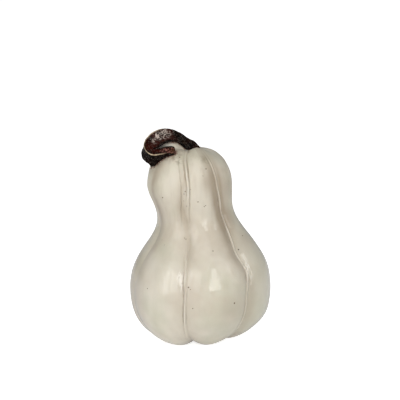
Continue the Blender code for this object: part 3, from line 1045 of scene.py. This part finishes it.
# Across and down in the picture, in pixels, reach in millimetres, and how much more gloss, stain, painted
# shade or painted light.
GLOSS_SPOTS = ((231.0, 277.0, 8.0, -0.75), (184.0, 220.0, 7.0, -0.5), (213.5, 221.0, 3.2, -1.0),
               (202.0, 218.0, 2.4, -0.9))
SHADE_SPOTS = ((230.0, 312.0, 9.0, 0.4), (229.0, 188.0, 7.0, 0.5), (209.0, 182.0, 5.0, 0.6),
             (224.0, 218.0, 6.0, 0.5), (245.0, 240.0, 6.0, 0.3))
LIGHT_SPOTS = ((170.0, 146.0, 4.0, 0.45), (162.0, 147.5, 3.5, 1.0), (207.0, 149.0, 4.0, 0.3))
STAIN_SPOTS = ((175.5, 156.5, 3.0, 0.7), (179.0, 161.5, 1.8, 0.5), (204.5, 159.5, 2.6, 0.35))


def near(bench, across, down, reach, strength):
    """A mask with that strength where the picture shows that place, which fades over the skin round it."""
    away = bench.vectors("DISTANCE", bench.place, tuple(seen_at(surface, across, down)))
    return bench.hump(away["Value"], reach * MM) * strength


def paint_skin():
    bench = PaintBench(skin_finish, Metallic=0.0, IOR=1.45, Subsurface_Weight=0.12, Subsurface_Scale=0.004,
                       Subsurface_Radius=(1.0, 0.75, 0.5), Coat_Roughness=0.05, Coat_IOR=1.5)
    right, _, level = bench.axes(bench.place)
    gloss = bench.ramp(level, *WORN_HEIGHTS, 1.0, WORN_GLOSS)
    for spot in GLOSS_SPOTS:
        gloss = gloss + near(bench, *spot)
    gloss = bench.maths("MAXIMUM", bench.maths("MINIMUM", gloss, 1.0), 0.0)
    bench.feed(bench.shader.inputs["Coat Weight"], gloss)
    greener = bench.group(MOTTLE, Size=0.030, From=0.42, To=0.68)
    shifted = bench.vectors("ADD", bench.place, (3.0, 1.0, 2.0))
    rosier = bench.group(MOTTLE, place=shifted, Size=0.022, From=0.46, To=0.72)
    # Painted shade: the right side is tinted greener and darker, and the left edge browner.
    right_side_shade = bench.ramp(right, 0.016, 0.034)
    left_edge_shade = bench.ramp(right, -0.026, -0.037)
    colour = bench.blend(bench.maths("MINIMUM", greener * 0.9 + right_side_shade * 0.6, 1.0), CREAM, GREEN_CREAM)
    colour = bench.blend(rosier * (1.0 - right_side_shade) * 0.8, colour, ROSE_CREAM)
    cloud = bench.group(MOTTLE, Size=0.007, From=0.3, To=0.75, Detail=5.0)
    colour = bench.blend(cloud * 0.10 + left_edge_shade * 0.42, colour, DIRT_AND_SHADE_BROWN)
    drawn_down = bench.vectors("MULTIPLY", bench.place, (1.0, 1.0, 0.12))
    streaks = bench.group(MOTTLE, place=drawn_down, Size=0.0035, From=0.45, To=0.75, Detail=3.0)
    colour = bench.blend(streaks * bench.ramp(level, 0.045, 0.085, 0.06, 0.26), colour, DIRT_AND_SHADE_BROWN)
    # Painted shade, partly patina: brown in the furrows, on their flanks and round the waist.
    shade_and_patina = bench.mask("hollow") * 0.3 + bench.mask("flank") * 0.6 + bench.mask("waist") * 0.5
    colour = bench.group(GRIME, Clean=colour, Grime=DIRT_AND_SHADE_BROWN, Mask=shade_and_patina, Breakup=0.25, Size=0.012)
    # Painted shade: darker brown in the creases beside the cords and in the furrows at the foot.
    crease_shade = bench.mask("crease") + bench.mask("foot") * 0.5
    colour = bench.group(GRIME, Clean=colour, Grime=CREASE_SHADE_BROWN, Mask=crease_shade, Breakup=0.5, Size=0.003)
    # Painted highlight: the cords are painted pale where their ridges would catch the light.
    colour = bench.blend(bench.mask("cord") * 0.8, colour, CORD_HIGHLIGHT_CREAM)
    # Painted highlight: pale threads over the wax runs beside two cords.
    highlight_threads = bench.group(MOTTLE, place=drawn_down, Size=0.0014, From=0.40, To=0.60, Detail=2.0)
    runs = bench.ramp(bench.mask("run") * (0.35 + highlight_threads * 0.65), 0.25, 0.70)
    colour = bench.blend(runs * 0.6, colour, HIGHLIGHT_PALE)
    by_stem = bench.mask("by_stem")
    colour = bench.group(GRIME, Clean=colour, Grime=STEM_GRIME, Mask=by_stem * 0.4, Breakup=0.75, Size=0.0022)
    # Painted shade: darker brown patches on the right half of the fruit.
    for spot in SHADE_SPOTS:
        colour = bench.blend(near(bench, *spot), colour, DIRT_AND_SHADE_BROWN)
    # Painted light: paler skin in the shadow of the stem's curl and by its foot.
    for spot in LIGHT_SPOTS:
        colour = bench.blend(near(bench, *spot), colour, HIGHLIGHT_PALE)
    for spot in STAIN_SPOTS:
        colour = bench.group(GRIME, Clean=colour, Grime=STEM_GRIME, Mask=near(bench, *spot), Breakup=0.95,
                             Size=0.0016)
    stained = bench.ramp(by_stem, 0.72, 0.92)
    colour = bench.group(GRIME, Clean=colour, Grime=STEM_STAIN, Mask=stained, Breakup=0.9, Size=0.0012)
    dull = bench.group(MOTTLE, Size=0.012, From=0.35, To=0.7)
    roughness = 0.38 + dull * 0.10 + bench.mask("crease") * 0.2
    grain = bench.group(GRAIN, Size=0.0028, Tooth=0.12)
    bench.finish(colour, roughness, grain, 0.00006)


paint_skin()
print("skin painted with", len(skin_finish.node_tree.nodes), "nodes")

# %% [markdown]
# ## The bark of the stem
#
# The stem has dried almost black, with a red-brown face and a hard gloss on top of its arch, where it was
# handled. Its outer rim is rubbed through to cream. Pale flecked patches and two brighter shines on the
# arch are painted highlights. Fine pink speckles cover the foot and the tip. A pattern along the axes of
# the room would cut straight across the curl, so the masks for these were stored along and around the
# stem when it was grown.

# %% Paint the stem
BARK_BLACK = srgb(11, 8, 7)
BARK_RED = srgb(56, 18, 11)
BARK_BROWN = srgb(72, 46, 18)
RIM_CREAM = srgb(204, 184, 156)
ARCH_HIGHLIGHT = srgb(214, 198, 186)
TIP_PINK = srgb(186, 128, 116)


def paint_stem():
    bench = PaintBench(stem_finish, Metallic=0.0, IOR=1.05, Coat_Roughness=0.12, Coat_IOR=1.5)
    upper, arch, along = bench.mask("upper"), bench.mask("arch"), bench.mask("along")
    bench.feed(bench.shader.inputs["Coat Weight"], arch * 0.6 + 0.02)
    red = bench.group(MOTTLE, Size=0.0045, From=0.36, To=0.62, Detail=4.0)
    brown = bench.group(MOTTLE, place=bench.vectors("ADD", bench.place, (1.0, 5.0, 2.0)), Size=0.006,
                        From=0.5, To=0.7)
    colour = bench.blend(red * (0.10 + upper * bench.ramp(along, 0.28, 0.42, 0.1, 0.8)), BARK_BLACK, BARK_RED)
    colour = bench.blend(brown * upper * bench.ramp(along, 0.55, 0.68, 0.15, 0.75), colour, BARK_BROWN)
    # Painted highlights: pale flecked patches over the arch, and two brighter shines on it.
    patches = bench.group(MOTTLE, Size=0.0042, From=0.44, To=0.56, Detail=2.0)
    flecks = bench.group(MOTTLE, Size=0.0011, From=0.42, To=0.60, Detail=4.0)
    colour = bench.blend(patches * flecks * arch * 0.9, colour, ARCH_HIGHLIGHT)
    fine = bench.group(MOTTLE, Size=0.0007, From=0.38, To=0.62, Detail=3.0)
    shine = bench.ramp(bench.mask("shine") + (fine - 0.6) * 0.9, 0.22, 0.95)
    colour = bench.blend(shine, colour, ARCH_HIGHLIGHT)
    tip = bench.ramp(along, 0.80, 0.88) * upper
    foot = bench.fade(along, 0.07, 0.12)
    speckles = bench.group(MOTTLE, Size=0.0008, From=0.50, To=0.64, Detail=3.0)
    colour = bench.blend((tip * 0.6 + foot * 0.85) * speckles, colour, TIP_PINK)
    ragged = bench.group(MOTTLE, Size=0.0018, From=0.30, To=0.55, Detail=3.0)
    colour = bench.blend(bench.mask("worn_rim") * (0.3 + ragged * 0.7), colour, RIM_CREAM)
    roughness = 0.22 + bench.group(MOTTLE, Size=0.002, From=0.4, To=0.7) * 0.25
    grain = bench.group(GRAIN, Size=0.0014, Tooth=0.35) + bench.mask("fibre") * 0.8
    bench.finish(colour, roughness, grain, 0.00018)


paint_stem()
print("stem painted with", len(stem_finish.node_tree.nodes), "nodes")

# %% [markdown]
# ## Specks and scar
#
# Both are cork: dull, brown and finely cracked, with no coat. They could share one material, but the
# scar's patches are larger and its relief is deeper, so one function paints each with its own values.

# %% Paint the cork
CORK_DARK = srgb(92, 76, 58)
CORK_LIGHT = srgb(142, 124, 98)


def paint_cork(material, dark, light, grain_size, relief):
    bench = PaintBench(material, Metallic=0.0)
    patches = bench.group(MOTTLE, Size=grain_size, From=0.35, To=0.65)
    colour = bench.blend(patches, dark, light)
    bench.finish(colour, 0.55 + patches * 0.2, bench.group(GRAIN, Size=grain_size * 0.5, Tooth=0.5), relief)


paint_cork(speck_finish, CORK_DARK, CORK_LIGHT, 0.0008, 0.00008)
paint_cork(scar_finish, srgb(110, 88, 62), srgb(160, 138, 104), 0.0014, 0.0002)
print("cork painted")

# %% [markdown]
# ## The studio
#
# The fruit stands on a wide white floor under soft light. The belly mirrors a window to the right of the
# camera as a drop with a sharp lower edge. That window is three lights, each narrower than the one below
# it. Two panels and a lamp to the left give the wide sheen on the left lobes, a narrow panel lights the
# right flank, a large one lights the crown, and a small lamp high behind puts a glint on it. The camera
# sees the floor and the air as plain white, but they cast only a little light on the fruit.

# %% Floor, lights and air
FLOOR_SIDE = 8.0
# How bright the floor glows and the air is, to the camera and as light on the fruit.
SEEN, FLOOR_CAST, AIR_CAST = (1.0, 1.0, 1.0, 1.0), (0.15, 0.155, 0.17, 1.0), (0.27, 0.272, 0.275, 1.0)

floor = put("floor", bpy.data.meshes.new("floor"))
half = FLOOR_SIDE / 2.0
floor.data.from_pydata([(-half, -half, 0.0), (half, -half, 0.0), (half, half, 0.0), (-half, half, 0.0)],
                       [], [(0, 1, 2, 3)])
floor_finish = bpy.data.materials.new("floor")
floor_bench = PaintBench(floor_finish, Base_Color=(0.93, 0.93, 0.93, 1.0), Roughness=0.9,
                         Emission_Strength=0.8, Specular_IOR_Level=0.0)
seen = floor_bench.add("ShaderNodeLightPath")["Is Camera Ray"]
floor_bench.feed(floor_bench.shader.inputs["Emission Color"], floor_bench.blend(seen, FLOOR_CAST, SEEN))
floor.data.materials.append(floor_finish)
floor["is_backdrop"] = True

WINDOW_TINT, PANEL_TINT = (1.0, 0.99, 0.97), (1.0, 0.985, 0.96)
# Name, azimuth and elevation in degrees, distance, width, height, watts and colour.
LIGHTS = (
    ("window_foot", 19, 10, 1.3, 0.62, 0.20, 1.55, WINDOW_TINT),
    ("window_middle", 19, 19, 1.3, 0.46, 0.22, 1.15, WINDOW_TINT),
    ("window_top", 20, 31, 1.3, 0.30, 0.30, 0.95, WINDOW_TINT),
    ("front_panel", -26, 18, 1.31, 0.40, 0.75, 1.6, PANEL_TINT),
    ("left_panel", -50, 14, 1.3, 0.80, 1.25, 3.3, PANEL_TINT),
    ("left_lamp", -49, 12, 1.29, 0.30, 0.90, 1.1, WINDOW_TINT),
    ("right_panel", 64, 22, 1.3, 0.28, 0.70, 1.9, PANEL_TINT),
    ("sky_panel", -24, 52, 1.3, 1.20, 1.20, 3.6, PANEL_TINT),
    ("top_lamp", 152, 62, 1.0, 0.05, 0.05, 0.12, (1.0, 0.99, 0.98)),
)
LIT = Vector((0.0, 0.0, 0.05))
for name, azimuth, elevation, distance, width, height, watts, tint in LIGHTS:
    light = bpy.data.lights.new(name, "AREA")
    light.shape = "RECTANGLE"
    light.size, light.size_y = width, height
    light.energy = watts
    light.color = tint
    lamp = put(name, light)
    turn, lift = math.radians(azimuth), math.radians(elevation)
    towards = Vector((math.sin(turn) * math.cos(lift), -math.cos(turn) * math.cos(lift), math.sin(lift)))
    lamp.location = LIT + towards * distance
    lamp.rotation_euler = towards.to_track_quat("Z", "Y").to_euler()
    lamp.visible_camera = False

world = bpy.data.worlds.new("studio")
world.use_nodes = True
air = Bench(world.node_tree)
background = world.node_tree.nodes["Background"]
seen = air.add("ShaderNodeLightPath")["Is Camera Ray"]
air.feed(background.inputs["Color"], air.blend(seen, AIR_CAST, SEEN))
scene.world = world
scene.view_settings.view_transform = "Standard"
print("lights:", [row[0] for row in LIGHTS])

# %% [markdown]
# ## Attaching the pieces
#
# Every piece rides on the one body, and the solid's own parts are hidden. The boxes of the solid and
# of the dressed model are measured, and the dressed model's size is printed.

# %% Attach the pieces and hide the solid's parts
for piece, slot in ((fruit, "fruit_skin"), (stem, "stem_bark"), (specks, "fruit_skin"), (scar, "fruit_skin")):
    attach(piece, "root")
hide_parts("fruit")
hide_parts("stem")

sizes = {"solid": [list(corner) for corner in solid_bounds],
         "dressed": [list(corner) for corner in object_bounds()]}
print("dressed model:", [round((high - low) / MM, 1) for low, high in zip(*sizes["dressed"])], "mm")
